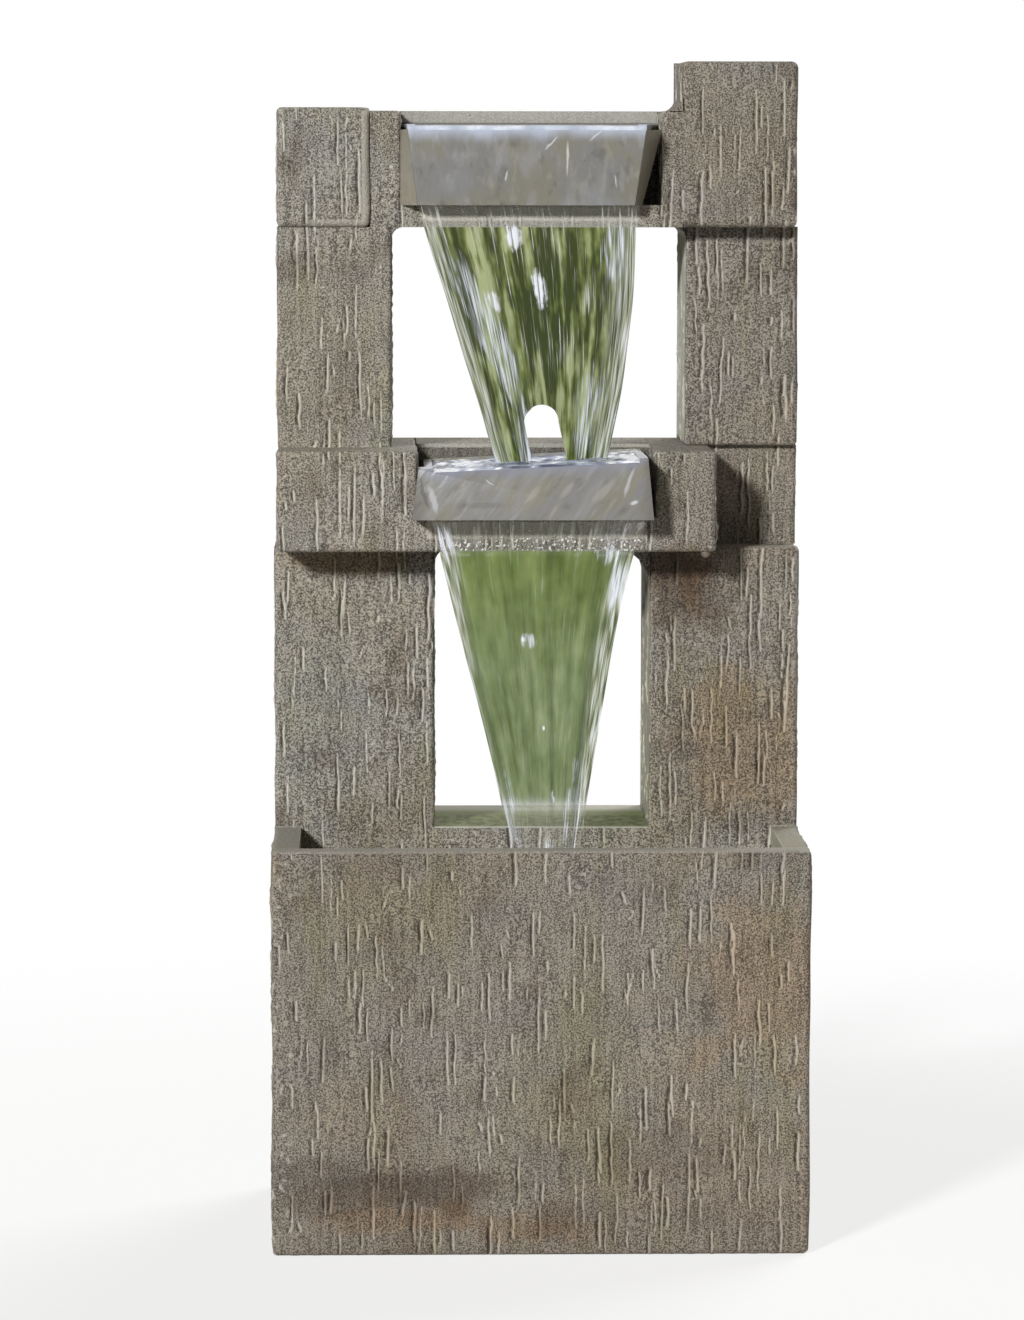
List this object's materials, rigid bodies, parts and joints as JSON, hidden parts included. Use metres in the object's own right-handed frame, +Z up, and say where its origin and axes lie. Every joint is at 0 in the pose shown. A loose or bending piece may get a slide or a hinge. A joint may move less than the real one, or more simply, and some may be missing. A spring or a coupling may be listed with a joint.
{
  "type": "tiered fountain",
  "caption": "Free-standing cascade fountain of stacked, wood-grained cast stone blocks, with spill trays over open windows, falling water, a deep basin and a hidden pump.",
  "frame": {"origin": "under the middle of the basin, on the ground", "axes": "+X to the right seen from the front, -Y to the front, +Z up"},
  "size_m": [0.395, 0.26, 0.875],
  "materials": {
    "cast_stone": "matt, wood-grained, weathered",
    "tray_stone": "smooth, wet",
    "water": "clear",
    "steel": "satin",
    "rubber": "matt",
    "pump_plastic": "fine grain",
    "knob_plastic": "semi-gloss",
    "hose_plastic": "smooth",
    "shaft_ceramic": "polished",
    "magnet_ferrite": "ground"
  },
  "bodies": {
    "fountain": {"basin": "cast_stone", "tower_deck": "cast_stone", "left_lower_post": "cast_stone", "right_lower_post": "cast_stone", "crossbeam": "cast_stone", "right_setback_block": "cast_stone", "left_upper_post": "cast_stone", "right_upper_post": "cast_stone", "lintel": "cast_stone", "left_cap_block": "cast_stone", "right_cap_block": "cast_stone", "rear_panel": "cast_stone", "upper_spill_tray": "tray_stone", "lower_spill_tray": "tray_stone", "upper_water_sheet": "water", "lower_water_sheet": "water", "panel_screws": "steel", "tower_bolts": "steel", "locating_dowels": "steel", "hose_clamps": "steel", "inlet_gasket": "rubber", "cable_gland": "rubber", "pump_seal": "rubber", "shaft_bushes": "rubber", "pump_feet": "rubber", "pump_motor": "pump_plastic", "pump_volute": "pump_plastic", "inlet_elbow": "pump_plastic", "inlet_nut": "pump_plastic", "hose_clips": "pump_plastic", "delivery_hose": "hose_plastic", "rotor_shaft": "shaft_ceramic"},
    "impeller": {"impeller": "pump_plastic", "rotor_magnet": "magnet_ferrite"},
    "flow_knob": {"flow_knob": "knob_plastic"},
    "hatch": {"access_hatch": "cast_stone", "hatch_gasket": "rubber", "hatch_screws": "steel"},
    "drain": {"drain_plug": "rubber"},
    "strainer": {"pump_strainer": "pump_plastic"}
  },
  "joints": [
    {"name": "impeller_spin", "type": "hinge", "parent": "fountain", "child": "impeller", "pos_m": [-0.13, 0.088, 0.047], "axis": [1, 0, 0], "continuous": true},
    {"name": "flow_knob_turn", "type": "hinge", "parent": "fountain", "child": "flow_knob", "pos_m": [-0.13, 0.062, 0.047], "axis": [0, -1, 0], "range_deg": [0, 120]},
    {"name": "hatch_slide", "type": "slide", "parent": "fountain", "child": "hatch", "axis": [0, 1, 0], "range_m": [0, 0.06]},
    {"name": "drain_slide", "type": "slide", "parent": "fountain", "child": "drain", "axis": [0, 1, 0], "range_m": [0, 0.03]},
    {"name": "strainer_slide", "type": "slide", "parent": "fountain", "child": "strainer", "axis": [1, 0, 0], "range_m": [0, 0.03]}
  ]
}
